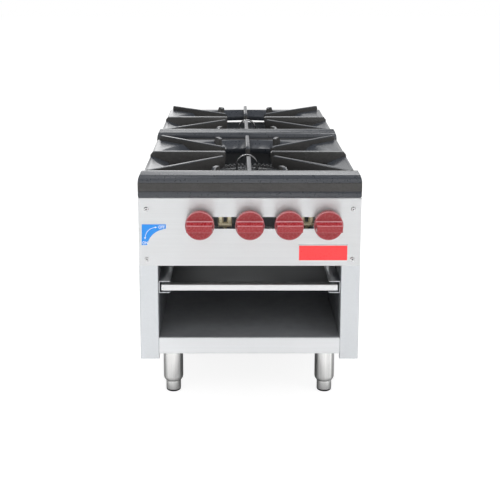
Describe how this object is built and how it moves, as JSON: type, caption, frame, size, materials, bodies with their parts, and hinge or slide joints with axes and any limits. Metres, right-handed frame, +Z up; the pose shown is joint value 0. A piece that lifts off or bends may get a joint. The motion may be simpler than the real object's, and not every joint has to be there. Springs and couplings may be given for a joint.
{
  "type": "stock pot range",
  "caption": "Low gas stock pot range on short legs, with cast-iron grates over ring burners front and rear, bar-grip knobs, a slide-out crumb tray and an open cabinet.",
  "frame": {"origin": "on the floor at the middle of the range's whole footprint, knobs and gas inlet included", "axes": "+X to the right seen from the front, +Y from the knobs to the back, +Z up"},
  "size_m": [0.457, 1.127, 0.5],
  "materials": {
    "stainless_sheet": "brushed, satin",
    "tray_sheet": "bright folded front, dull pan",
    "leg_tube": "brushed tube",
    "black_sheet": "satin black with light dust",
    "cast_iron": "as cast, seasoned",
    "burner_iron": "as cast",
    "red_phenolic": "semi-gloss moulding",
    "brass": "machined",
    "plated_steel": "zinc plated",
    "black_pipe": "black pipe",
    "aluminium_tube": "drawn tube"
  },
  "bodies": {
    "range_body": {"back_panel": "stainless_sheet", "back_panel_screws": "plated_steel", "bottom_shelf": "black_sheet", "control_panel": "stainless_sheet", "control_panel_screws": "plated_steel", "front_burner_bars": "black_sheet", "front_inner_burner": "burner_iron", "front_inner_valve": "brass", "front_left_leg": "leg_tube", "front_outer_burner": "burner_iron", "front_outer_valve": "brass", "front_pilot_tube": "aluminium_tube", "front_pilot_valve": "brass", "front_right_leg": "leg_tube", "gas_inlet_pipe": "black_pipe", "gas_manifold": "black_pipe", "left_base_channel": "black_sheet", "left_liner": "black_sheet", "left_side_panel": "stainless_sheet", "left_tray_rail": "stainless_sheet", "leg_bolts": "plated_steel", "lower_front_rail": "stainless_sheet", "manifold_clamps": "plated_steel", "manifold_rail": "black_sheet", "middle_grate_support": "black_sheet", "orifice_bracket": "black_sheet", "orifice_hoods": "brass", "rear_burner_bars": "black_sheet", "rear_inner_burner": "burner_iron", "rear_inner_valve": "brass", "rear_left_leg": "leg_tube", "rear_outer_burner": "burner_iron", "rear_outer_valve": "brass", "rear_pilot_tube": "aluminium_tube", "rear_pilot_valve": "brass", "rear_right_leg": "leg_tube", "rear_supply_pipes": "aluminium_tube", "right_base_channel": "black_sheet", "right_liner": "black_sheet", "right_side_panel": "stainless_sheet", "right_tray_rail": "stainless_sheet"},
    "rear_inner_control": {"rear_inner_knob": "red_phenolic", "rear_inner_valve_stem": "plated_steel"},
    "front_inner_control": {"front_inner_knob": "red_phenolic", "front_inner_valve_stem": "plated_steel"},
    "front_outer_control": {"front_outer_knob": "red_phenolic", "front_outer_valve_stem": "plated_steel"},
    "rear_outer_control": {"rear_outer_knob": "red_phenolic", "rear_outer_valve_stem": "plated_steel"},
    "tray": {"crumb_tray": "tray_sheet"},
    "front_top": {"front_grate": "cast_iron"},
    "front_left_leveller": {"front_left_foot": "leg_tube"},
    "front_right_leveller": {"front_right_foot": "leg_tube"},
    "front_inner_shutter": {"front_inner_air_shutter": "plated_steel"},
    "front_outer_shutter": {"front_outer_air_shutter": "plated_steel"},
    "rear_top": {"rear_grate": "cast_iron"},
    "rear_left_leveller": {"rear_left_foot": "leg_tube"},
    "rear_right_leveller": {"rear_right_foot": "leg_tube"},
    "rear_inner_shutter": {"rear_inner_air_shutter": "plated_steel"},
    "rear_outer_shutter": {"rear_outer_air_shutter": "plated_steel"}
  },
  "joints": [
    {"name": "rear_inner_knob_turn", "type": "hinge", "parent": "range_body", "child": "rear_inner_control", "pos_m": [-0.102, -0.5115, 0.394], "axis": [0, -1, 0], "range_deg": [0, 90]},
    {"name": "front_inner_knob_turn", "type": "hinge", "parent": "range_body", "child": "front_inner_control", "pos_m": [0, -0.5115, 0.394], "axis": [0, -1, 0], "range_deg": [0, 90]},
    {"name": "front_outer_knob_turn", "type": "hinge", "parent": "range_body", "child": "front_outer_control", "pos_m": [0.08, -0.5115, 0.394], "axis": [0, -1, 0], "range_deg": [0, 90]},
    {"name": "rear_outer_knob_turn", "type": "hinge", "parent": "range_body", "child": "rear_outer_control", "pos_m": [0.16, -0.5115, 0.394], "axis": [0, -1, 0], "range_deg": [0, 90]},
    {"name": "tray_slide", "type": "slide", "parent": "range_body", "child": "tray", "axis": [0, -1, 0], "range_m": [0, 0.7]},
    {"name": "front_grate_lift", "type": "slide", "parent": "range_body", "child": "front_top", "axis": [0, 0, 1], "range_m": [0, 0.15]},
    {"name": "front_left_foot_screw", "type": "slide", "parent": "range_body", "child": "front_left_leveller", "axis": [0, 0, -1], "range_m": [0, 0.02]},
    {"name": "front_right_foot_screw", "type": "slide", "parent": "range_body", "child": "front_right_leveller", "axis": [0, 0, -1], "range_m": [0, 0.02]},
    {"name": "front_inner_shutter_turn", "type": "hinge", "parent": "range_body", "child": "front_inner_shutter", "pos_m": [0, -0.4205, 0.394], "axis": [0, -1, 0], "range_deg": [0, 75]},
    {"name": "front_outer_shutter_turn", "type": "hinge", "parent": "range_body", "child": "front_outer_shutter", "pos_m": [0.08, -0.4205, 0.394], "axis": [0, -1, 0], "range_deg": [0, 75]},
    {"name": "rear_grate_lift", "type": "slide", "parent": "range_body", "child": "rear_top", "axis": [0, 0, 1], "range_m": [0, 0.15]},
    {"name": "rear_left_foot_screw", "type": "slide", "parent": "range_body", "child": "rear_left_leveller", "axis": [0, 0, -1], "range_m": [0, 0.02]},
    {"name": "rear_right_foot_screw", "type": "slide", "parent": "range_body", "child": "rear_right_leveller", "axis": [0, 0, -1], "range_m": [0, 0.02]},
    {"name": "rear_inner_shutter_turn", "type": "hinge", "parent": "range_body", "child": "rear_inner_shutter", "pos_m": [0, 0.1045, 0.394], "axis": [0, -1, 0], "range_deg": [0, 75]},
    {"name": "rear_outer_shutter_turn", "type": "hinge", "parent": "range_body", "child": "rear_outer_shutter", "pos_m": [0.08, 0.1045, 0.394], "axis": [0, -1, 0], "range_deg": [0, 75]}
  ]
}
